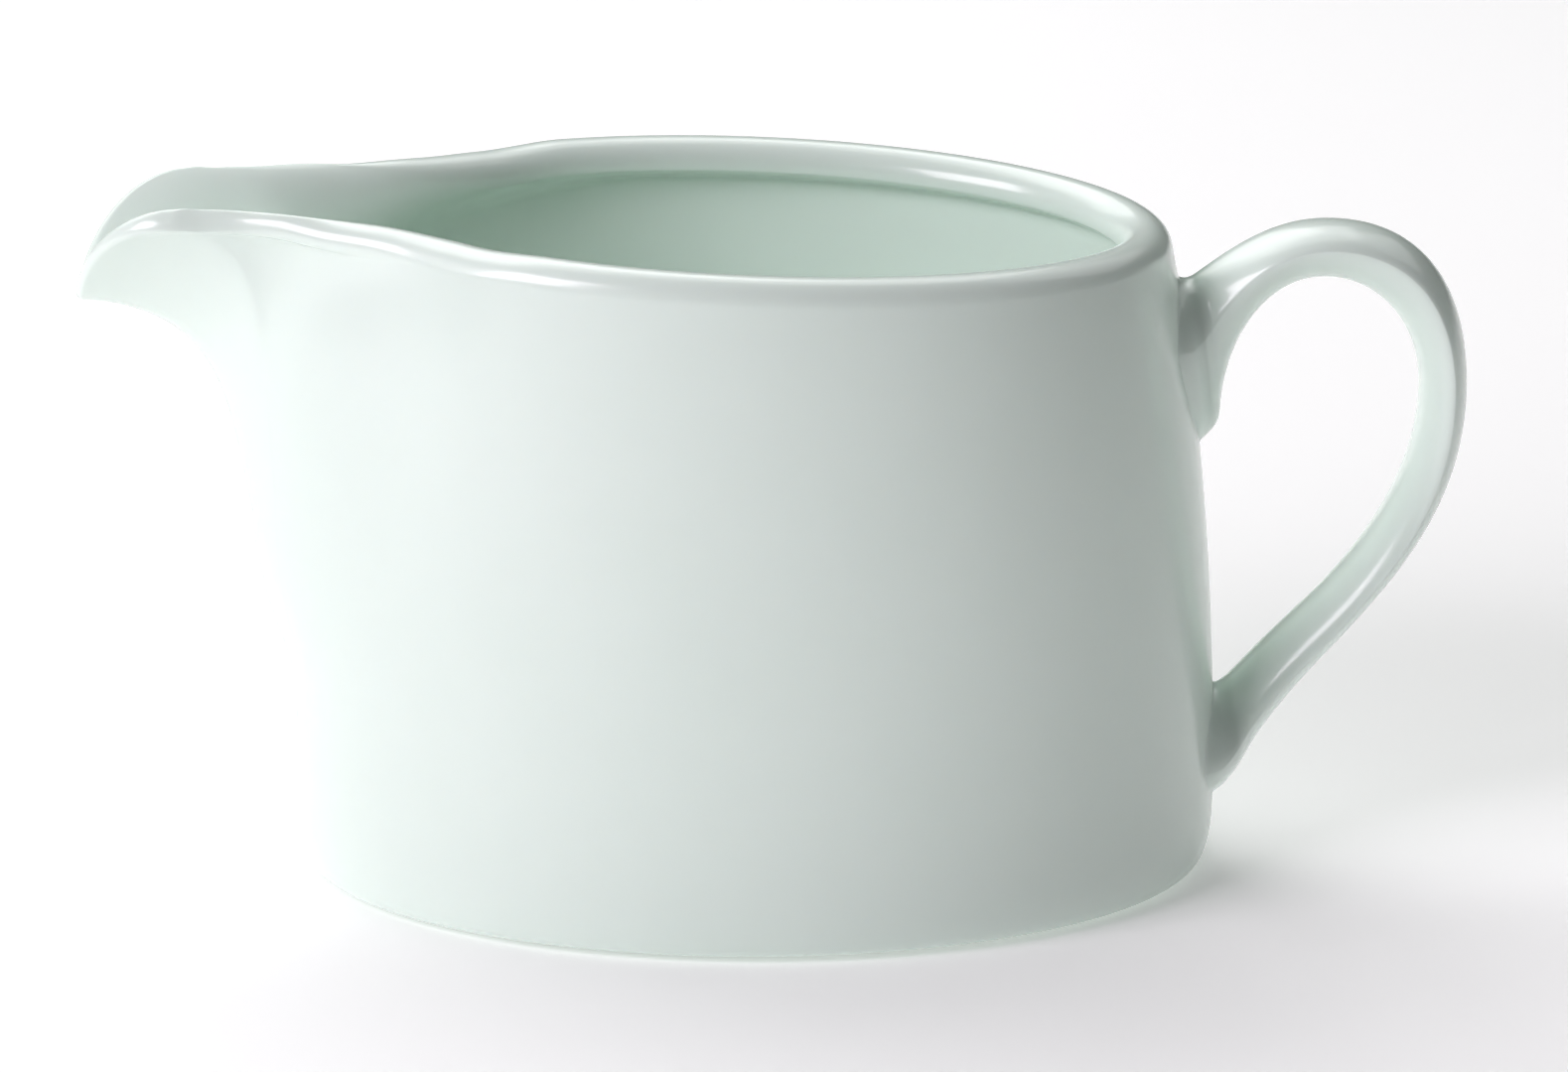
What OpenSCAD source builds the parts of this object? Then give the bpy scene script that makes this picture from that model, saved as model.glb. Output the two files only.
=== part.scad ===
// Gravy boat in glazed porcelain: an oval bowl with a hooked pouring beak and a strap handle.
// +X points to the handle, -X to the beak, +Z up. The table is at z = 0.
// The origin is under the middle of the overall length.

/* [Bowl] */
// Length of the oval bowl where it is widest, low on its wall
bowl_length = 126.4; // [124:0.2:129]
// Width of the oval bowl where it is widest
bowl_width = 84; // [80:1:88]
// Height of the rim's crest above the table, at the middle of the bowl
bowl_height = 93; // [90:1:96]
// Outside length of the oval at the rim, without the beak
rim_length = 110; // [108:1:114]
// Outside width of the oval at the rim
rim_width = 76; // [74:1:80]
// How steeply the rim rises from the handle to the beak, in degrees
rim_slope = 2.1; // [0:0.1:2.5]
// Thickness of the wall below the rim
wall_thick = 3.6; // [3:0.1:4.2]
// Thickness of the floor
floor_thick = 3.6; // [3:0.1:5]
// Height of the rounded heel under the wall
heel_height = 8; // [7:0.5:11]
// How far the rounded heel tucks in
heel_tuck = 2.2; // [1.8:0.1:3.5]
// Radius between the floor and the wall, inside
floor_radius = 9; // [6:0.5:11]

/* [Rim] */
// Thickness of the rolled bead along the bowl's rim
bead_thick = 7; // [6:0.1:7.4]
// Depth of the bead down the inside of the wall
bead_depth = 6.5; // [6:0.1:8]

/* [Beak] */
// Distance from the middle of the bowl to the tip of the beak
beak_reach = 91.2; // [89:0.1:94]
// Width across the two lips of the beak
beak_width = 24.6; // [22:0.2:26]
// Thickness of the lips along the sides of the beak
lip_thick = 3.2; // [2.8:0.1:3.6]
// Thickness of the lip at the very tip
tip_thick = 2; // [1.8:0.1:2.4]
// How far the beak's tip lies below the rim's crest at the middle of the bowl
tip_drop = 13; // [12:0.1:14]

/* [Handle] */
// Distance from the middle of the bowl to the outside of the handle
handle_reach = 96.2; // [95:0.1:98]
// Height of the top of the handle above the table
handle_top = 91; // [90:0.1:92]
// Width of the handle's strap
strap_width = 13; // [11:0.5:15]
// How far the upper slip collar spreads over the wall round the handle's root
upper_spread = 1.6; // [1.2:0.1:2]
// How far the lower slip collar spreads over the wall round the handle's root
lower_spread = 1.5; // [0.7:0.1:1.6]

/* [Foot] */
// Height of the bare foot ring
foot_height = 1; // [0.8:0.1:1.5]
// Width of the band that the foot ring stands on
foot_width = 4; // [3:0.5:5]
// How far the foot ring stands in from the widest oval
foot_inset = 5.4; // [4.8:0.1:7]

/* [Hidden] */

glaze_colour = "whitesmoke";
bare_colour = "linen";
slip_colour = "gainsboro";

// The bowl's middle is set back so that the origin is under the middle of the overall length.
bowl_x = (beak_reach - handle_reach) / 2;

// The wall leans in slowly near the foot and faster towards the rim.
wall_power = 2.4;
// The underside inside the foot ring is hollowed by this depth, with a sloping edge this wide.
recess_depth = 1.2;
recess_ramp = 1.5;
recess_height = foot_height + recess_depth;
floor_z = recess_height + floor_thick;

// Where the rim stops being an oval, as an angle round it from the handle.
neck_angle = 120;
// The neck curves from the oval into the beak: how long it holds each direction, and how far
// it draws in before the lips.
neck_pull = 15;
beak_pull = 21;
neck_waist = 0.7;
// Where the beak's straight lips end and its rounded nose begins.
nose_x = -75;
straight_end_x = -74;
// How softly the two lips meet at the tip: 0 is a sharp V.
tip_softness = 0.22;
// The bowl's bead thins down from here to the beak's lip, and the lip from its end to the tip.
bead_end_x = -38;
lip_start_x = -66;
lip_end_x = -76;

// How far the rim rolls down as the wall leans, as a share of the bead's radius, on the bowl
// and on the beak, and where it changes from one to the other.
bowl_lean = -0.17;
beak_lean = 0.87;
lean_start_x = -40;
lean_end_x = -60;
// Towards the beak the bead reaches further down the inside, from here on and by up to this much.
sink_start_x = -15;
bead_sink = 7;

tip_edge_x = -beak_reach + tip_thick / 2;
tip_edge_z = bowl_height - tip_drop;

// The beak's keel, from where it swells out of the wall to its tip, as [distance out, height].
keel_heel = [[62.8, 25], [62.8, 31], [67.3, 35], [68.2, 50]];
keel_throat = [[68.2, 50], [71, 64.5], [70.6, 78.8], [-tip_edge_x, tip_edge_z]];
keel_start_z = keel_heel[0][1];
// Places along the keel are counted from 0 at its heel to 2 at its tip, one for each curve.
keel_tip = 2;
// Low on the wall the keel is a broad swelling, this many degrees to each side. The beak's neck
// fades into it faster as this power grows.
swell_angle = 42;
neck_fade = 10;

// Grid of the bowl's surface.
arc_columns = 18;
neck_columns = 10;
nose_columns = 8;
heel_rows = 5;
wall_rows = 3;
keel_rows = 5;
throat_rows = 9;
bead_rows = 8;
inner_rows = 14;
fillet_rows = 4;
// How closely the rows crowd towards the rim, outside and inside.
throat_crowding = 0.4;
inner_crowding = 1.6;
// The flat middles of the floor and the underside have one extra row, at this share of their size.
middle_row = 0.5;

// The handle's outer and inner edges, from root to root, as [distance out, height].
outer_edge = [
    [[57.3, 81.9], [58.4, 82.8], [59.5, 83.7], [60.6, 84.5]],
    [[60.6, 84.5], [65.5, 88.1], [70.5, handle_top], [77, handle_top]],
    [[77, handle_top], [89.4, handle_top], [handle_reach, 82.4], [handle_reach, 67.5]],
    [[handle_reach, 67.5], [handle_reach, 51.6], [87.8, 41.3], [77.7, 29.8]],
    [[77.7, 29.8], [74.1, 25.7], [70.9, 21.5], [68.6, 17.6]],
    [[68.6, 17.6], [67.4, 15.5], [66, 11.6], [62.9, 10.9]]
];
inner_edge = [
    [[60, 61.3], [61.6, 61.4], [62.8, 62.6], [62.9, 64.5]],
    [[62.9, 64.5], [63.1, 75], [68.8, 83.6], [76.3, 83.6]],
    [[76.3, 83.6], [83.7, 83.6], [89.8, 77], [89.8, 67.5]],
    [[89.8, 67.5], [89.8, 55.5], [82.9, 44.6], [74.3, 36.1]],
    [[74.3, 36.1], [71.4, 33.2], [68.8, 30.5], [66.4, 27.8]],
    [[66.4, 27.8], [65.3, 26.6], [64.1, 25.2], [62.8, 23.8]]
];
// The strap is widest at a ridge, at this share of its thickness from its outer face. Outside the
// ridge its section is a low crown, steeper at the ridge as this power falls.
strap_ridge = 0.34;
strap_crown = 1.4;
// Inside the ridge its section is half an oval, squared off by this power, and its sides draw in
// by this share.
strap_power = 2.6;
strap_draw = 0.3;
// The strap widens by this factor at its roots.
root_spread = 1.25;
// A collar reaches this far along the strap, where one curve of its edges counts as 1. It runs
// off the wall over this share of its cove.
collar_end = 0.6;
collar_hold = 0.5;

// Grid of the handle's and the collars' surfaces.
strap_sides = 28;
strap_steps = 8;
cap_rings = 4;
collar_steps = 5;
collar_turns = 2;

function mix(from, to, share) = from + (to - from) * share;
function clamp01(value) = max(0, min(1, value));
function ease(value) = let (t = clamp01(value)) t * t * (3 - 2 * t);
function unit(vector) = vector / norm(vector);
function bezier(p, t) = let (r = 1 - t)
    r * r * r * p[0] + 3 * r * r * t * p[1] + 3 * r * t * t * p[2] + t * t * t * p[3];
function signed_power(base, power) = sign(base) * pow(abs(base), power);

// The plain oval wall at height z.
function lean(z) = pow(z / bowl_height, wall_power);
function half_length(z) = mix(bowl_length, rim_length, lean(z)) / 2;
function half_width(z) = mix(bowl_width, rim_width, lean(z)) / 2;
function oval(angle, z) = [half_length(z) * cos(angle), half_width(z) * sin(angle)];

// Half the thickness of the rim, and the height of the wall's top edge, at distance x.
function rim_radius(x) = let (
    on_beak = ease((bead_end_x - x) / (bead_end_x - lip_start_x)),
    at_tip = ease((lip_end_x - x) / (lip_end_x - tip_edge_x))
) mix(mix(bead_thick, lip_thick, on_beak), tip_thick, at_tip) / 2;
// Share of the drop at the tip that is made up at a share of the beak's half width.
function nose_rise(share) = let (k = tip_softness)
    (sqrt(share * share + k * k) - k) / (sqrt(1 + k * k) - k);
function crest_z(x) = bowl_height - x * tan(rim_slope);
function rim_lean(x) = mix(bowl_lean, beak_lean, ease((lean_start_x - x) / (lean_start_x - lean_end_x)));
function side_z(x) = crest_z(x) - (1 + rim_lean(x)) * rim_radius(x);
function rim_z(p) = p[0] > nose_x ? side_z(p[0])
    : mix(tip_edge_z, side_z(p[0]), nose_rise(2 * abs(p[1]) / beak_width));

// Plan of the wall's top edge, from the handle round one side to the tip of the beak.
function rim_oval(angle) = oval(angle, side_z(rim_length / 2 * cos(angle)));
neck_point = rim_oval(neck_angle);
neck_tangent = unit([-rim_length * sin(neck_angle), rim_width * cos(neck_angle)]);
neck_curve = [
    neck_point,
    neck_point + neck_pull * neck_tangent,
    [straight_end_x + beak_pull, beak_width / 2 - neck_waist],
    [straight_end_x, beak_width / 2]
];
half_plan = concat(
    [for (i = [0:arc_columns]) rim_oval(neck_angle * i / arc_columns)],
    [for (i = [1:neck_columns]) bezier(neck_curve, i / neck_columns)],
    [for (i = [0:nose_columns]) let (a = 90 * i / nose_columns)
        [nose_x - (nose_x - tip_edge_x) * sin(a), beak_width / 2 * cos(a)]]
);
last = len(half_plan) - 1;
plan = concat(half_plan, [for (i = [last - 1:-1:1]) [half_plan[i][0], -half_plan[i][1]]]);
columns = len(plan);

// For each column: its angle on the plain oval, its top height, how far the beak pulls its top
// out and how far the swelling pulls its foot out.
top_zs = [for (p = plan) rim_z(p)];
angles = [for (p = plan) atan2(p[1] / rim_width, p[0] / rim_length)];
tip_pull = -tip_edge_x - half_length(tip_edge_z);
top_pulls = [for (j = [0:columns - 1]) plan[j] - oval(angles[j], top_zs[j])];
low_pulls = [for (a = angles) [-tip_pull * ease(1 - (180 - abs(a)) / swell_angle), 0]];

// Outer surface at column j. The row is a point of the keel, which sets height and pull.
function keel_share(keel) = (keel[1] - keel_start_z) / (tip_edge_z - keel_start_z);
function keel_pull(keel) = max(0, keel[0] - half_length(keel[1])) / tip_pull;
function outer(j, keel) = let (
    k = (j + columns) % columns,
    share = keel_share(keel),
    z = mix(keel_start_z, top_zs[k], share),
    pull = mix(low_pulls[k], top_pulls[k], pow(ease(share), neck_fade)),
    p = oval(angles[k], z) + keel_pull(keel) * pull
) [p[0], p[1], z];
function keel_at(t) = t < 1 ? bezier(keel_heel, t) : bezier(keel_throat, t - 1);

// Outward normal and upward tangent of the outer surface.
probe = 0.01;
function rise(j, t) = unit(
    outer(j, keel_at(min(t + probe, keel_tip))) - outer(j, keel_at(t - probe)));
function normal(j, t) = unit(cross(
    outer(j + 1, keel_at(t)) - outer(j - 1, keel_at(t)), rise(j, t)));

function ring(t) = [for (j = [0:columns - 1]) outer(j, keel_at(t))];
function low_ring(z, tuck) = [for (j = [0:columns - 1]) let (
    a = angles[j],
    p = oval(a, z) - tuck * unit([half_width(z) * cos(a), half_length(z) * sin(a)])
) [p[0], p[1], z]];

function bead_ring(turn) = [for (j = [0:columns - 1]) let (
    r = rim_radius(plan[j][0]),
    n = normal(j, keel_tip),
    steep = rise(j, keel_tip),
    up = unit(steep - (steep * n) * n)
) outer(j, keel_at(keel_tip)) + r * ((cos(turn) - 1) * n + sin(turn) * up)];

// Wall thickness under the rim: the bead's full thickness, then the plain wall.
function wall_at(j, depth) = let (
    x = plan[j][0],
    r = rim_radius(x),
    reach = bead_depth - r + bead_sink * ease((sink_start_x - x) / (sink_start_x - lip_start_x))
) mix(2 * r, min(wall_thick, 2 * r), ease(depth / reach));
function inner_ring(t) = [for (j = [0:columns - 1]) let (
    p = outer(j, keel_at(t))
) p - wall_at(j, top_zs[j] - p[2]) * normal(j, t)];

inner_low_z = floor_z + floor_radius;
function inner_low_ring(z, tuck) = low_ring(z, wall_thick + tuck);
function flat_ring(points, share, z) = [for (p = points) [share * p[0], share * p[1], z]];

heel_rings = [for (i = [0:heel_rows - 1]) let (a = 90 * i / heel_rows)
    low_ring(foot_height + heel_height * (1 - cos(a)), heel_tuck * (1 - sin(a)))];
wall_rings = [for (i = [0:wall_rows - 1])
    low_ring(mix(foot_height + heel_height, keel_start_z, i / wall_rows), 0)];
keel_rings = [for (i = [0:keel_rows - 1]) ring(i / keel_rows)];
throat_rings = [for (i = [0:throat_rows]) let (share = i / throat_rows)
    ring(1 + mix(share, ease(share), throat_crowding))];
bead_rings = [for (i = [1:bead_rows]) bead_ring(180 * i / bead_rows)];
inner_rings = [for (i = [1:inner_rows])
    inner_ring(keel_tip * (1 - pow(i / inner_rows, inner_crowding)))];
fillet_rings = [for (i = [0:fillet_rows]) let (a = 90 * i / fillet_rows)
    inner_low_ring(inner_low_z - floor_radius * sin(a), floor_radius * (1 - cos(a)))];
foot_inner = foot_inset + foot_width;
under_rings = [
    flat_ring(low_ring(foot_height, foot_inner + recess_ramp), middle_row, recess_height),
    flat_ring(low_ring(foot_height, foot_inner + recess_ramp), 1, recess_height),
    low_ring(foot_height, foot_inner),
    low_ring(foot_height, foot_inset)
];
floor_rings = [flat_ring(fillet_rings[fillet_rows], middle_row, floor_z)];

// Joins rings of points, with a middle point at each end, into one closed solid.
module skin(rings, first_middle, last_middle) {
    count = len(rings[0]);
    end = len(rings) * count;
    points = concat([for (r = rings) each r], [first_middle, last_middle]);
    sides = [for (i = [0:len(rings) - 2]) for (j = [0:count - 1]) let (
        a = i * count + j,
        b = i * count + (j + 1) % count
    ) each [[a, a + count, b], [b, a + count, b + count]]];
    start_cap = [for (j = [0:count - 1]) [end, j, (j + 1) % count]];
    end_cap = [for (j = [0:count - 1]) [end + 1, end - count + (j + 1) % count, end - count + j]];
    polyhedron(points, concat(sides, start_cap, end_cap));
}

module body() {
    color(glaze_colour) translate([bowl_x, 0, 0]) skin(
        concat(under_rings, heel_rings, wall_rings, keel_rings, throat_rings,
            bead_rings, inner_rings, fillet_rings, floor_rings),
        [0, 0, recess_height], [0, 0, floor_z]);
}

function plan_of(points) = [for (p = points) [p[0], p[1]]];

module foot_ring() {
    color(bare_colour) translate([bowl_x, 0, 0]) linear_extrude(foot_height) difference() {
        polygon(plan_of(low_ring(foot_height, foot_inset)));
        polygon(plan_of(low_ring(foot_height, foot_inner)));
    }
}

// The wall's outer face under the handle, at distance y from the middle and height z.
function wall_x(y, z) = half_length(z) * sqrt(1 - pow(y / half_width(z), 2));
function on_wall(points) = [for (p = points) [wall_x(p[1], p[2]), p[1], p[2]]];

// Cross-section of the strap at t along its edges, grown by the spread on every side.
edge_count = len(outer_edge);
function edge_at(edge, t) = let (i = min(floor(t), edge_count - 1)) bezier(edge[i], t - i);
function strap_half(t) = strap_width / 2
    * mix(1, root_spread, 1 - ease(min(t, edge_count - t)));
function strap_ring(t, spread = 0) = let (
    out = edge_at(outer_edge, t),
    in = edge_at(inner_edge, t),
    thick = norm(out - in),
    away = (out - in) / thick,
    ridge = out - strap_ridge * thick * away
) [for (k = [0:strap_sides - 1]) let (
    a = 360 * k / strap_sides,
    outside = sin(a) > 0,
    side = signed_power(cos(a), outside ? 1 : 2 / strap_power) * (strap_half(t) + spread),
    y = side * (1 - strap_draw * max(-sin(a), 0)),
    depth = (outside ? strap_ridge : 1 - strap_ridge) * thick + spread,
    p = ridge + signed_power(sin(a), outside ? strap_crown : 2 / strap_power) * depth * away
) [p[0], y, p[1]]];

// Places along the strap: close together under the collars, even between them.
root_ts = [for (i = [1:collar_turns]) collar_end * i / collar_turns];
strap_ts = concat(root_ts, [for (i = [strap_steps:(edge_count - 1) * strap_steps]) i / strap_steps],
    [for (i = [collar_turns - 1:-1:0]) edge_count - root_ts[i]]);

// Rings that close an end of the strap along the wall, from the middle out.
function middle(points) = let (
    p = [for (i = [0:2]) (max([for (q = points) q[i]]) + min([for (q = points) q[i]])) / 2]
) on_wall([p])[0];
function end_cap(root_t) = let (
    edge = on_wall(strap_ring(root_t)),
    centre = middle(edge)
) [for (i = [1:cap_rings]) on_wall([for (p = edge) mix(centre, p, i / cap_rings)])];

module handle() {
    upper = end_cap(0);
    lower = end_cap(edge_count);
    color(glaze_colour) translate([bowl_x, 0, 0]) skin(
        concat(upper, [for (t = strap_ts) strap_ring(t)], [for (i = [cap_rings - 1:-1:0]) lower[i]]),
        middle(upper[cap_rings - 1]), middle(lower[cap_rings - 1]));
}

// A collar of slip fills the corner between the wall and the strap. Its cove leaves the wall
// along it and runs out along the strap.
// side is 1 where t runs away from the root and -1 where it runs towards it.
module collar(root_t, side, spread) {
    cove = [for (i = [0:collar_steps]) let (
        a = 90 * i / collar_steps,
        points = strap_ring(root_t + side * collar_end * (1 - cos(a)), spread * (1 - sin(a)))
    ) mix(on_wall(points), points, ease(i / collar_steps / collar_hold))];
    bore = [for (i = [collar_turns - 1:-1:0]) i == 0
        ? on_wall(strap_ring(root_t))
        : strap_ring(root_t + side * collar_end * i / collar_turns)];
    color(slip_colour) translate([bowl_x, 0, 0]) loop_skin(concat(cove, bore), side);
}

// Joins rings of points, and the last ring to the first, into one closed solid.
module loop_skin(rings, side) {
    turns = len(rings);
    count = len(rings[0]);
    sides = [for (i = [0:turns - 1]) for (j = [0:count - 1]) let (
        a = i * count + j,
        b = i * count + (j + 1) % count,
        c = ((i + 1) % turns) * count + j,
        d = ((i + 1) % turns) * count + (j + 1) % count
    ) each (side > 0 ? [[a, c, b], [b, c, d]] : [[a, b, c], [b, d, c]])];
    polyhedron([for (r = rings) each r], sides);
}

module upper_handle_joint() {
    collar(0, 1, upper_spread);
}

module lower_handle_joint() {
    collar(edge_count, -1, lower_spread);
}

body();
foot_ring();
handle();
upper_handle_joint();
lower_handle_joint();
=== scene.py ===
import math

import bmesh
import bpy
import numpy as np
from mathutils import Matrix, Vector


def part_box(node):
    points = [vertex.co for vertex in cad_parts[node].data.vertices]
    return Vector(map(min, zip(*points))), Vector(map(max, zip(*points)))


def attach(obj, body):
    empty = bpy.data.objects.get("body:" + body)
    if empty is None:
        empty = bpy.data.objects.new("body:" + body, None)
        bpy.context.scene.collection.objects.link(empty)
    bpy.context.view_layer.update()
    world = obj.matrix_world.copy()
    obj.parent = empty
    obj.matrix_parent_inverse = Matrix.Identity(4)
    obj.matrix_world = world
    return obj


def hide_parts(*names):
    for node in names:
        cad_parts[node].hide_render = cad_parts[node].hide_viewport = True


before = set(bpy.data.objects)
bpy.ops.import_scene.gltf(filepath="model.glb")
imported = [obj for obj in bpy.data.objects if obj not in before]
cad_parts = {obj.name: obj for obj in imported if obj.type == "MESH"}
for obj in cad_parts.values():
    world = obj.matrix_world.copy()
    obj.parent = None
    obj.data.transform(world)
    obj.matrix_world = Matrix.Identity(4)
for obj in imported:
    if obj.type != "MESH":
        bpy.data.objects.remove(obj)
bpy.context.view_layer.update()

# A glazed porcelain gravy boat. Its shape is worked out in millimetres, +X to the handle and +Z up,
# and is scaled to metres when a mesh is made. The bowl's middle is x = 0 until then.
MM = 0.001

# Bowl: an oval wall that leans in slowly near the foot and faster towards the rim.
BOWL_LENGTH = 126.4
BOWL_WIDTH = 84.0
BOWL_HEIGHT = 93.0
RIM_LENGTH = 110.0
RIM_WIDTH = 76.0
RIM_SLOPE = math.tan(math.radians(2.1))
WALL_POWER = 2.4
WALL_THICK = 3.6
FLOOR_THICK = 3.6
FLOOR_RADIUS = 9.0
HEEL_HEIGHT = 8.0
HEEL_TUCK = 2.2
# Rim: a rolled bead on the bowl, a thinner lip on the beak.
BEAD_THICK = 7.0
BEAD_DEPTH = 6.5
BEAD_SINK = 7.0
SINK_START_X = -15.0
LIP_THICK = 3.2
TIP_THICK = 2.0
BEAD_END_X = -38.0
LIP_START_X = -66.0
LIP_END_X = -76.0
BOWL_LEAN = -0.17
BEAK_LEAN = 0.87
LEAN_START_X = -40.0
LEAN_END_X = -60.0
# Beak: two straight lips that meet in a rounded, dropping nose.
BEAK_WIDTH = 24.6
TIP_DROP = 13.0
NOSE_X = -75.0
STRAIGHT_END_X = -74.0
NECK_ANGLE = math.radians(120)
NECK_PULL = 15.0
BEAK_PULL = 21.0
NECK_WAIST = 0.7
TIP_SOFTNESS = 0.22
SWELL_ANGLE = math.radians(42)
NECK_FADE = 10
# Foot: a bare ring under a shallow hollow.
FOOT_WIDTH = 4.0
FOOT_INSET = 5.4
FOOT_EDGE = 0.35
RECESS_DEPTH = 1.2
RECESS_RAMP = 1.5
# Handle: a strap whose section is an oval squared off by a power. It is widest at a ridge near its
# outer face, and its sides draw in from there to the inner face.
STRAP_WIDTH = 13.0
STRAP_RIDGE = 0.34
STRAP_POWER = 2.6
STRAP_CROWN = 1.4
STRAP_DRAW = 0.3
ROOT_SPREAD = 1.25
UPPER_SPREAD = 1.6
LOWER_SPREAD = 1.5
COLLAR_END = 0.6
COLLAR_HOLD = 0.5

# The frame gives the reaches and heights of the pieces that it holds.
body_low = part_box("body")[0] / MM
handle_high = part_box("handle")[1] / MM
foot_low, foot_high = (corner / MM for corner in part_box("foot_ring"))
FOOT_HEIGHT = foot_high.z
HANDLE_TOP = handle_high.z
BOWL_X = (foot_low.x + foot_high.x) / 2
HANDLE_REACH = handle_high.x - BOWL_X
BEAK_REACH = BOWL_X - body_low.x

RECESS_HEIGHT = FOOT_HEIGHT + RECESS_DEPTH
FLOOR_Z = RECESS_HEIGHT + FLOOR_THICK
TIP_EDGE_X = TIP_THICK / 2 - BEAK_REACH
TIP_EDGE_Z = BOWL_HEIGHT - TIP_DROP

# The beak's keel, from its swelling on the wall to its tip, as (distance out, height).
KEEL = [
    [(62.8, 25), (62.8, 31), (67.3, 35), (68.2, 50)],
    [(68.2, 50), (71, 64.5), (70.6, 78.8), (-TIP_EDGE_X, TIP_EDGE_Z)],
]
KEEL_START_Z = KEEL[0][0][1]
KEEL_TIP = len(KEEL)

# The handle's outer and inner edges, from root to root, as (distance out, height).
OUTER_EDGE = [
    [(57.3, 81.9), (58.4, 82.8), (59.5, 83.7), (60.6, 84.5)],
    [(60.6, 84.5), (65.5, 88.1), (70.5, HANDLE_TOP), (77, HANDLE_TOP)],
    [(77, HANDLE_TOP), (89.4, HANDLE_TOP), (HANDLE_REACH, 82.4), (HANDLE_REACH, 67.5)],
    [(HANDLE_REACH, 67.5), (HANDLE_REACH, 51.6), (87.8, 41.3), (77.7, 29.8)],
    [(77.7, 29.8), (74.1, 25.7), (70.9, 21.5), (68.6, 17.6)],
    [(68.6, 17.6), (67.4, 15.5), (66, 11.6), (62.9, 10.9)],
]
INNER_EDGE = [
    [(60, 61.3), (61.6, 61.4), (62.8, 62.6), (62.9, 64.5)],
    [(62.9, 64.5), (63.1, 75), (68.8, 83.6), (76.3, 83.6)],
    [(76.3, 83.6), (83.7, 83.6), (89.8, 77), (89.8, 67.5)],
    [(89.8, 67.5), (89.8, 55.5), (82.9, 44.6), (74.3, 36.1)],
    [(74.3, 36.1), (71.4, 33.2), (68.8, 30.5), (66.4, 27.8)],
    [(66.4, 27.8), (65.3, 26.6), (64.1, 25.2), (62.8, 23.8)],
]
EDGE_COUNT = len(OUTER_EDGE)

# Grids of the surfaces.
ARC_COLUMNS = 96
NECK_COLUMNS = 40
NOSE_COLUMNS = 36
HEEL_ROWS = 12
WALL_ROWS = 8
KEEL_ROWS = 24
THROAT_ROWS = 48
BEAD_ROWS = 28
INNER_ROWS = 70
FILLET_ROWS = 12
STRAP_SIDES = 96
STRAP_STEPS = 40
CAP_RINGS = 8
COLLAR_STEPS = 14
COLLAR_TURNS = COLLAR_STEPS // 2
FOOT_EDGE_POINTS = 6
# Extra rings on the flat floor and underside, as shares of their size.
FLAT_SHARES = (0.3, 0.6, 0.9)
# How closely the rings crowd towards the rim, outside and inside.
THROAT_CROWDING = 0.4
INNER_CROWDING = 1.6
# Step along the keel over which the surface's direction is measured.
PROBE = 0.01
# Edges that turn by more than this stay sharp.
SHARP_ANGLE = math.radians(50)


def mix(start, end, share):
    return start + (end - start) * share


def ease(value):
    t = np.clip(value, 0, 1)
    return t * t * (3 - 2 * t)


def unit(vectors):
    return vectors / np.linalg.norm(vectors, axis=-1, keepdims=True)


def bezier(points, t):
    p = np.asarray(points, float)
    t = np.asarray(t, float)[..., None]
    r = 1 - t
    return r**3 * p[0] + 3 * r**2 * t * p[1] + 3 * r * t**2 * p[2] + t**3 * p[3]


def along(curves, t):
    """The point at t on a chain of curves, where each curve counts as 1."""
    i = min(int(t), len(curves) - 1)
    return bezier(curves[i], t - i)


def signed_power(base, power):
    return np.sign(base) * np.abs(base) ** power


def lean(z):
    return (np.maximum(z, 0) / BOWL_HEIGHT) ** WALL_POWER


def half_length(z):
    return mix(BOWL_LENGTH, RIM_LENGTH, lean(z)) / 2


def half_width(z):
    return mix(BOWL_WIDTH, RIM_WIDTH, lean(z)) / 2


def oval(angle, z):
    """A point of the plain oval wall, in plan."""
    return np.stack([half_length(z) * np.cos(angle), half_width(z) * np.sin(angle)], -1)


def rim_radius(x):
    """Half the thickness of the rim at distance x."""
    on_beak = ease((BEAD_END_X - x) / (BEAD_END_X - LIP_START_X))
    at_tip = ease((LIP_END_X - x) / (LIP_END_X - TIP_EDGE_X))
    return mix(mix(BEAD_THICK, LIP_THICK, on_beak), TIP_THICK, at_tip) / 2


def nose_rise(share):
    """Share of the tip's drop made up at a share of the beak's half width."""
    k = TIP_SOFTNESS
    return (np.sqrt(share * share + k * k) - k) / (math.sqrt(1 + k * k) - k)


def side_z(x):
    """Height of the wall's top edge, under the rim, at distance x."""
    rim_lean = mix(BOWL_LEAN, BEAK_LEAN, ease((LEAN_START_X - x) / (LEAN_START_X - LEAN_END_X)))
    return BOWL_HEIGHT - x * RIM_SLOPE - (1 + rim_lean) * rim_radius(x)


def rim_z(plan):
    x, y = plan[:, 0], plan[:, 1]
    nose = mix(TIP_EDGE_Z, side_z(x), nose_rise(2 * np.abs(y) / BEAK_WIDTH))
    return np.where(x > NOSE_X, side_z(x), nose)


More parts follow.
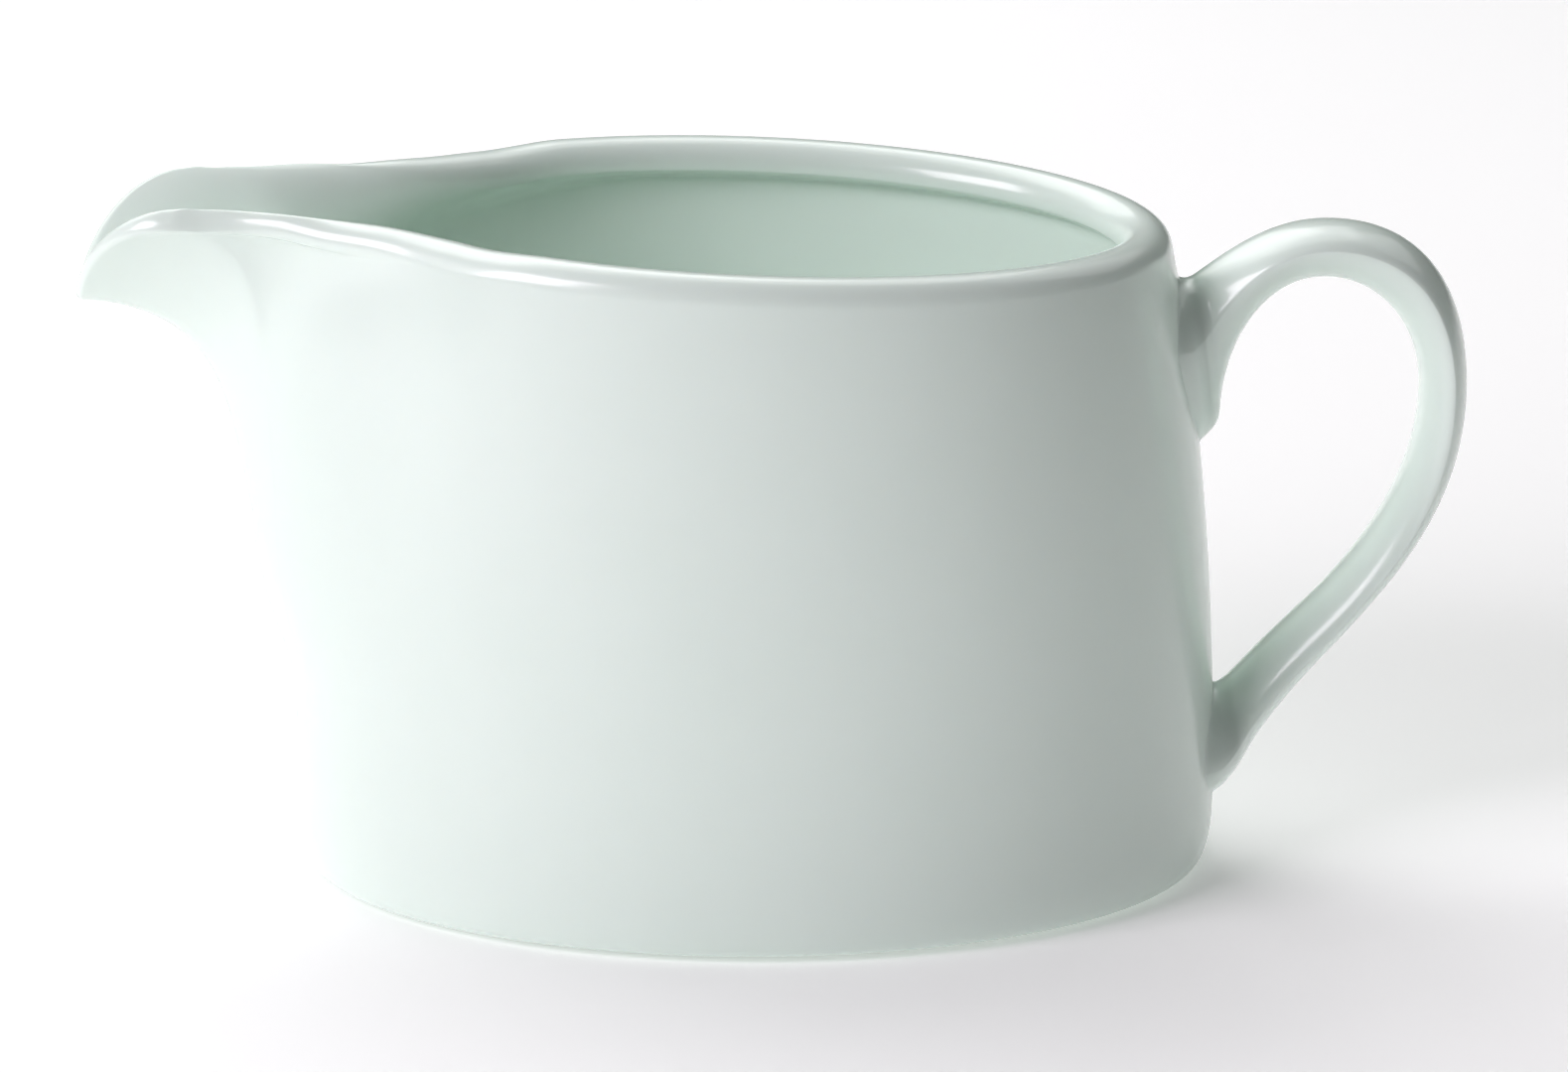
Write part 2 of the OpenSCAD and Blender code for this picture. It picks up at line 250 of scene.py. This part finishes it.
def rim_plan():
    """Plan of the wall's top edge, from the handle round one side, the beak and the other side."""
    def rim_oval(angle):
        return oval(angle, side_z(RIM_LENGTH / 2 * np.cos(angle)))

    arc = rim_oval(np.linspace(0, NECK_ANGLE, ARC_COLUMNS + 1))
    neck_tangent = unit(np.array([-RIM_LENGTH * math.sin(NECK_ANGLE), RIM_WIDTH * math.cos(NECK_ANGLE)]))
    neck_curve = [
        arc[-1],
        arc[-1] + NECK_PULL * neck_tangent,
        (STRAIGHT_END_X + BEAK_PULL, BEAK_WIDTH / 2 - NECK_WAIST),
        (STRAIGHT_END_X, BEAK_WIDTH / 2),
    ]
    neck = bezier(neck_curve, np.linspace(0, 1, NECK_COLUMNS + 1)[1:])
    turn = np.linspace(0, math.pi / 2, NOSE_COLUMNS + 1)
    nose = np.stack([NOSE_X - (NOSE_X - TIP_EDGE_X) * np.sin(turn), BEAK_WIDTH / 2 * np.cos(turn)], -1)
    half = np.concatenate([arc, neck, nose])
    return np.concatenate([half, half[-2:0:-1] * [1, -1]])


PLAN = rim_plan()
TOP_Z = rim_z(PLAN)
ANGLE = np.arctan2(PLAN[:, 1] / RIM_WIDTH, PLAN[:, 0] / RIM_LENGTH)
TIP_PULL = -TIP_EDGE_X - half_length(TIP_EDGE_Z)
TOP_PULL = PLAN - oval(ANGLE, TOP_Z)
SWELL = ease(1 - (math.pi - np.abs(ANGLE)) / SWELL_ANGLE)
LOW_PULL = np.stack([-TIP_PULL * SWELL, np.zeros_like(ANGLE)], -1)


def outer(t):
    """Ring of the outer surface at t along the keel."""
    keel_x, keel_z = along(KEEL, t)
    share = (keel_z - KEEL_START_Z) / (TIP_EDGE_Z - KEEL_START_Z)
    pull = max(0, keel_x - half_length(keel_z)) / TIP_PULL
    z = mix(KEEL_START_Z, TOP_Z, share)
    plan = oval(ANGLE, z) + pull * mix(LOW_PULL, TOP_PULL, ease(share) ** NECK_FADE)
    return np.column_stack([plan, z])


def outer_rise(t):
    """Unit tangents up the outer surface."""
    return unit(outer(min(t + PROBE, KEEL_TIP)) - outer(t - PROBE))


def outer_normal(t):
    """Unit outward normals of the outer surface."""
    ring = outer(t)
    return unit(np.cross(np.roll(ring, -1, 0) - np.roll(ring, 1, 0), outer_rise(t)))


def low_ring(z, tuck):
    """Ring of the plain wall at height z, drawn in by tuck."""
    outward = unit(np.stack([half_width(z) * np.cos(ANGLE), half_length(z) * np.sin(ANGLE)], -1))
    return np.column_stack([oval(ANGLE, z) - tuck * outward, np.full(len(ANGLE), float(z))])


def flat_ring(ring, share, z):
    """A ring shrunk to a share of its size, at height z."""
    return np.column_stack([ring[:, :2] * share, np.full(len(ring), float(z))])


def bead_ring(turn):
    """Ring of the rolled rim, where turn goes over it from outside to inside."""
    r = rim_radius(PLAN[:, 0])[:, None]
    normal = outer_normal(KEEL_TIP)
    rise = outer_rise(KEEL_TIP)
    up = unit(rise - (rise * normal).sum(1, keepdims=True) * normal)
    return outer(KEEL_TIP) + r * ((math.cos(turn) - 1) * normal + math.sin(turn) * up)


def inner_ring(t):
    """Ring of the inside: the bead's full thickness under the rim, then the plain wall."""
    x = PLAN[:, 0]
    r = rim_radius(x)
    ring = outer(t)
    depth = TOP_Z - ring[:, 2]
    reach = BEAD_DEPTH - r + BEAD_SINK * ease((SINK_START_X - x) / (SINK_START_X - LIP_START_X))
    thick = mix(2 * r, np.minimum(WALL_THICK, 2 * r), ease(depth / reach))
    return ring - thick[:, None] * outer_normal(t)


def body_rings():
    """All rings of the body, from the middle of its underside to the middle of its floor."""
    foot_inner = FOOT_INSET + FOOT_WIDTH
    recess = low_ring(FOOT_HEIGHT, foot_inner + RECESS_RAMP)
    rings = [flat_ring(recess, share, RECESS_HEIGHT) for share in (*FLAT_SHARES, 1)]
    rings += [low_ring(FOOT_HEIGHT, foot_inner), low_ring(FOOT_HEIGHT, FOOT_INSET)]
    for turn in np.linspace(0, math.pi / 2, HEEL_ROWS + 1):
        z = FOOT_HEIGHT + HEEL_HEIGHT * (1 - math.cos(turn))
        rings.append(low_ring(z, HEEL_TUCK * (1 - math.sin(turn))))
    for z in np.linspace(FOOT_HEIGHT + HEEL_HEIGHT, KEEL_START_Z, WALL_ROWS + 1)[1:]:
        rings.append(low_ring(z, 0))
    rings += [outer(t) for t in np.linspace(0, 1, KEEL_ROWS + 1)[1:]]
    for share in np.linspace(0, 1, THROAT_ROWS + 1)[1:]:
        rings.append(outer(1 + mix(share, ease(share), THROAT_CROWDING)))
    rings += [bead_ring(turn) for turn in np.linspace(0, math.pi, BEAD_ROWS + 1)[1:]]
    for share in np.linspace(0, 1, INNER_ROWS + 1)[1:]:
        rings.append(inner_ring(KEEL_TIP * (1 - share**INNER_CROWDING)))
    for turn in np.linspace(0, math.pi / 2, FILLET_ROWS + 1):
        z = FLOOR_Z + FLOOR_RADIUS * (1 - math.sin(turn))
        rings.append(low_ring(z, WALL_THICK + FLOOR_RADIUS * (1 - math.cos(turn))))
    rings += [flat_ring(rings[-1], share, FLOOR_Z) for share in FLAT_SHARES[::-1]]
    return rings


def skin(name, rings, closed):
    """A smooth solid over rings of points. It closes onto its first ring, or at a middle point each end."""
    bm = bmesh.new()
    rows = [[bm.verts.new(tuple((p + [BOWL_X, 0, 0]) * MM)) for p in ring] for ring in rings]
    pairs = list(zip(rows, rows[1:]))
    if closed:
        pairs.append((rows[-1], rows[0]))
    for low, high in pairs:
        for k in range(len(low)):
            bm.faces.new((low[k - 1], low[k], high[k], high[k - 1]))
    if not closed:
        for row in (rows[0], rows[-1]):
            middle = bm.verts.new(sum((v.co for v in row), Vector()) / len(row))
            for k in range(len(row)):
                bm.faces.new((middle, row[k - 1], row[k]))
    bmesh.ops.recalc_face_normals(bm, faces=bm.faces)
    for face in bm.faces:
        face.smooth = True
    for edge in bm.edges:
        edge.smooth = edge.calc_face_angle() < SHARP_ANGLE
    mesh = bpy.data.meshes.new(name)
    bm.to_mesh(mesh)
    bm.free()
    piece = bpy.data.objects.new(name, mesh)
    bpy.context.scene.collection.objects.link(piece)
    return piece


def on_wall(points):
    """Points moved along x onto the wall's outer face under the handle."""
    y, z = points[:, 1], points[:, 2]
    return np.column_stack([half_length(z) * np.sqrt(1 - (y / half_width(z)) ** 2), y, z])


def strap_ring(t, spread=0.0):
    """Section of the strap at t along its edges, grown by spread on every side."""
    out, inside = along(OUTER_EDGE, t), along(INNER_EDGE, t)
    thick = np.linalg.norm(out - inside)
    away = (out - inside) / thick
    ridge = out - STRAP_RIDGE * thick * away
    half = STRAP_WIDTH / 2 * mix(1, ROOT_SPREAD, 1 - ease(min(t, EDGE_COUNT - t)))
    turn = np.linspace(0, 2 * math.pi, STRAP_SIDES, endpoint=False)
    across, rise = np.cos(turn), np.sin(turn)
    outside = rise > 0
    y = signed_power(across, np.where(outside, 1, 2 / STRAP_POWER)) * (half + spread)
    y = y * (1 - STRAP_DRAW * np.maximum(-rise, 0))
    depth = np.where(outside, STRAP_RIDGE, 1 - STRAP_RIDGE) * thick + spread
    climb = signed_power(rise, np.where(outside, STRAP_CROWN, 2 / STRAP_POWER))
    plane = ridge + (climb * depth)[:, None] * away
    return np.column_stack([plane[:, 0], y, plane[:, 1]])


def cap_rings(t):
    """Rings that close an end of the strap along the wall, from its middle out."""
    edge = on_wall(strap_ring(t))
    middle = (edge.max(0) + edge.min(0)) / 2
    return [on_wall(mix(middle, edge, k / CAP_RINGS)) for k in range(1, CAP_RINGS + 1)]


def handle_rings():
    places = np.linspace(0, EDGE_COUNT, EDGE_COUNT * STRAP_STEPS + 1)[1:-1]
    return cap_rings(0) + [strap_ring(t) for t in places] + cap_rings(EDGE_COUNT)[::-1]


def collar_rings(root_t, side, spread):
    """Rings of a slip collar: a cove from the wall up the strap, then back along the strap's skin."""
    rings = []
    for share in np.linspace(0, 1, COLLAR_STEPS + 1):
        turn = share * math.pi / 2
        t = root_t + side * COLLAR_END * (1 - math.cos(turn))
        ring = strap_ring(t, spread * (1 - math.sin(turn)))
        rings.append(mix(on_wall(ring), ring, ease(share / COLLAR_HOLD)))
    for share in np.linspace(1, 0, COLLAR_TURNS)[1:]:
        rings.append(strap_ring(root_t + side * COLLAR_END * share))
    rings[-1] = on_wall(rings[-1])
    return rings


def foot_rings():
    """Rings of the bare foot, a flat band with ground edges, from inside over the top and back under."""
    foot_inner = FOOT_INSET + FOOT_WIDTH
    turns = np.linspace(0, math.pi / 2, FOOT_EDGE_POINTS)
    rings = [low_ring(FOOT_HEIGHT, foot_inner), low_ring(FOOT_HEIGHT, FOOT_INSET)]
    for turn in turns:
        drop = FOOT_EDGE * (1 - math.sin(turn))
        rings.append(low_ring(drop, FOOT_INSET + FOOT_EDGE * (1 - math.cos(turn))))
    for turn in turns[::-1]:
        drop = FOOT_EDGE * (1 - math.sin(turn))
        rings.append(low_ring(drop, foot_inner - FOOT_EDGE * (1 - math.cos(turn))))
    return rings


# Looks. A noise has a scale per metre and a detail. A bump has a strength and a depth in metres.
# A noise's values between these two are spread over the whole of a range.
NOISE_LOW = 0.3
NOISE_HIGH = 0.7
MOTTLE = (55, 3)
RIPPLE = (38, 1)
PEEL = (900, 2)
RIPPLE_BUMP = (0.03, 0.0006)
PEEL_BUMP = (0.05, 0.00004)
GLAZE_COLOURS = ((0.83, 0.955, 0.875), (0.845, 0.97, 0.89))
GLAZE_ROUGHNESS = (0.2, 0.27)
GLAZE_IOR = 1.5
COAT_WEIGHT = 0.4
COAT_ROUGHNESS = 0.1
SUBSURFACE_WEIGHT = 0.15
SUBSURFACE_RADIUS = (1.0, 0.9, 0.8)
SUBSURFACE_SCALE = 0.0015
GRAIN = (2500, 4)
STAIN = (140, 3)
GRAIN_BUMP = (0.4, 0.0001)
BARE_COLOURS = ((0.74, 0.71, 0.66), (0.84, 0.82, 0.78))
BARE_ROUGHNESS = (0.6, 0.8)
SHADE = (3, 2)
FLOOR_COLOURS = ((0.93, 0.93, 0.93), (0.95, 0.95, 0.95))
FLOOR_ROUGHNESS = 0.7
FLOOR_GLOW = 0.22
WHITE = (1.0, 1.0, 1.0)


def noise(nodes, links, coordinates, scale, detail):
    """A noise texture over the object's own coordinates, in metres."""
    texture = nodes.new("ShaderNodeTexNoise")
    texture.inputs["Scale"].default_value = scale
    texture.inputs["Detail"].default_value = detail
    links.new(coordinates.outputs["Object"], texture.inputs["Vector"])
    return texture.outputs["Fac"]


def spread_over(nodes, links, factor, low, high):
    """Spreads a noise over a range of values."""
    span = nodes.new("ShaderNodeMapRange")
    span.inputs["From Min"].default_value = NOISE_LOW
    span.inputs["From Max"].default_value = NOISE_HIGH
    span.inputs["To Min"].default_value = low
    span.inputs["To Max"].default_value = high
    links.new(factor, span.inputs["Value"])
    return span.outputs["Result"]


def blend_colours(nodes, links, factor, low, high):
    """Spreads a noise from one colour to another."""
    ramp = nodes.new("ShaderNodeValToRGB")
    for stop, place, colour in zip(ramp.color_ramp.elements, (NOISE_LOW, NOISE_HIGH), (low, high)):
        stop.position = place
        stop.color = (*colour, 1)
    links.new(factor, ramp.inputs["Fac"])
    return ramp.outputs["Color"]


def bump(nodes, links, height, strength, depth, under=None):
    """Surface detail, on top of the detail under it."""
    node = nodes.new("ShaderNodeBump")
    node.inputs["Strength"].default_value = strength
    node.inputs["Distance"].default_value = depth
    links.new(height, node.inputs["Height"])
    if under:
        links.new(under, node.inputs["Normal"])
    return node.outputs["Normal"]


def new_material(name):
    material = bpy.data.materials.new(name)
    material.use_nodes = True
    nodes, links = material.node_tree.nodes, material.node_tree.links
    return material, nodes, links, nodes["Principled BSDF"], nodes.new("ShaderNodeTexCoord")


def glaze_material():
    """Clear gloss glaze over white porcelain: a faint mottle, a slow ripple and a fine orange peel."""
    material, nodes, links, shader, where = new_material("glazed_porcelain")
    mottle = noise(nodes, links, where, *MOTTLE)
    ripple = noise(nodes, links, where, *RIPPLE)
    peel = noise(nodes, links, where, *PEEL)
    shader.inputs["IOR"].default_value = GLAZE_IOR
    shader.inputs["Coat Weight"].default_value = COAT_WEIGHT
    shader.inputs["Coat Roughness"].default_value = COAT_ROUGHNESS
    shader.inputs["Subsurface Weight"].default_value = SUBSURFACE_WEIGHT
    shader.inputs["Subsurface Radius"].default_value = SUBSURFACE_RADIUS
    shader.inputs["Subsurface Scale"].default_value = SUBSURFACE_SCALE
    colour = blend_colours(nodes, links, mottle, *GLAZE_COLOURS)
    links.new(colour, shader.inputs["Base Color"])
    links.new(spread_over(nodes, links, mottle, *GLAZE_ROUGHNESS), shader.inputs["Roughness"])
    slow = bump(nodes, links, ripple, *RIPPLE_BUMP)
    links.new(bump(nodes, links, peel, *PEEL_BUMP, slow), shader.inputs["Normal"])
    return material


def bare_material():
    """Bare porcelain, ground flat: warmer, matt and finely grained."""
    material, nodes, links, shader, where = new_material("bare_porcelain")
    grain = noise(nodes, links, where, *GRAIN)
    stain = noise(nodes, links, where, *STAIN)
    links.new(blend_colours(nodes, links, stain, *BARE_COLOURS), shader.inputs["Base Color"])
    links.new(spread_over(nodes, links, grain, *BARE_ROUGHNESS), shader.inputs["Roughness"])
    links.new(bump(nodes, links, grain, *GRAIN_BUMP), shader.inputs["Normal"])
    return material


def floor_material():
    material, nodes, links, shader, where = new_material("pale_floor")
    shade = noise(nodes, links, where, *SHADE)
    links.new(blend_colours(nodes, links, shade, *FLOOR_COLOURS), shader.inputs["Base Color"])
    shader.inputs["Roughness"].default_value = FLOOR_ROUGHNESS
    shader.inputs["Emission Color"].default_value = (*WHITE, 1)
    shader.inputs["Emission Strength"].default_value = FLOOR_GLOW
    return material


def build_piece(name, rings, material, closed=False):
    piece = skin(name + "_surface", rings, closed)
    piece.data.materials.append(material)
    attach(piece, "root")
    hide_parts(name)
    return piece


glaze = glaze_material()
bare = bare_material()
build_piece("body", body_rings(), glaze)
build_piece("handle", handle_rings(), glaze)
build_piece("upper_handle_joint", collar_rings(0, 1, UPPER_SPREAD), glaze, closed=True)
build_piece("lower_handle_joint", collar_rings(EDGE_COUNT, -1, LOWER_SPREAD), glaze, closed=True)
build_piece("foot_ring", foot_rings(), bare, closed=True)


# Stage: a pale floor under white surroundings, and soft boxes aimed at the object. Sizes are in metres.
FLOOR_SIZE = 6.0
AIM = Vector((0, 0, 0.05))
KEY_COLOUR = (1.0, 0.93, 1.0)
SOFT_BOXES = {
    "key": (-53, 30, 1.2, (0.6, 0.6), 9.2, KEY_COLOUR),
    "high_back": (-165, 60, 1.2, (1.2, 0.9), 5.2, WHITE),
    "left_back": (-145, 45, 1.2, (1.2, 0.9), 5.6, WHITE),
    "right": (125, 45, 1.2, (0.9, 0.7), 1.8, WHITE),
}


def make_floor():
    bm = bmesh.new()
    bmesh.ops.create_grid(bm, x_segments=1, y_segments=1, size=FLOOR_SIZE / 2)
    mesh = bpy.data.meshes.new("floor")
    bm.to_mesh(mesh)
    bm.free()
    floor = bpy.data.objects.new("floor", mesh)
    floor.data.materials.append(floor_material())
    bpy.context.scene.collection.objects.link(floor)


def soft_box(name, azimuth, elevation, distance, size, watts, colour):
    light = bpy.data.lights.new(name, "AREA")
    light.shape = "RECTANGLE"
    light.size, light.size_y = size
    light.energy = watts
    light.color = colour
    lamp = bpy.data.objects.new(name, light)
    lamp.visible_camera = False
    turn, rise = math.radians(azimuth), math.radians(elevation)
    away = Vector((math.sin(turn) * math.cos(rise), -math.cos(turn) * math.cos(rise), math.sin(rise)))
    lamp.location = AIM + distance * away
    lamp.rotation_euler = (-away).to_track_quat("-Z", "Y").to_euler()
    bpy.context.scene.collection.objects.link(lamp)


def make_surround():
    """White surroundings behind the floor. They shed no light on the object."""
    world = bpy.data.worlds.new("studio")
    world.use_nodes = True
    world.node_tree.nodes["Background"].inputs["Color"].default_value = (*WHITE, 1)
    world.cycles_visibility.diffuse = False
    world.cycles_visibility.glossy = False
    bpy.context.scene.world = world


make_floor()
make_surround()
for name, settings in SOFT_BOXES.items():
    soft_box(name, *settings)

# Camera, placed from the middle of the object's length. Angles are in radians.
CAMERA_PLACE = (-0.0025, -0.8158, 0.3186)
CAMERA_TURN = -0.005
CAMERA_DIP = 0.322
CAMERA_ROLL = 0.002
CAMERA_LENS = 145.1


def make_camera():
    camera = bpy.data.objects.new("camera", bpy.data.cameras.new("camera"))
    camera.data.lens = CAMERA_LENS
    camera.matrix_world = (
        Matrix.Translation(CAMERA_PLACE)
        @ Matrix.Rotation(CAMERA_TURN, 4, "Z")
        @ Matrix.Rotation(math.pi / 2 - CAMERA_DIP, 4, "X")
        @ Matrix.Rotation(CAMERA_ROLL, 4, "Z")
    )
    bpy.context.scene.collection.objects.link(camera)
    bpy.context.scene.camera = camera


make_camera()
bpy.context.scene.view_settings.view_transform = "Standard"
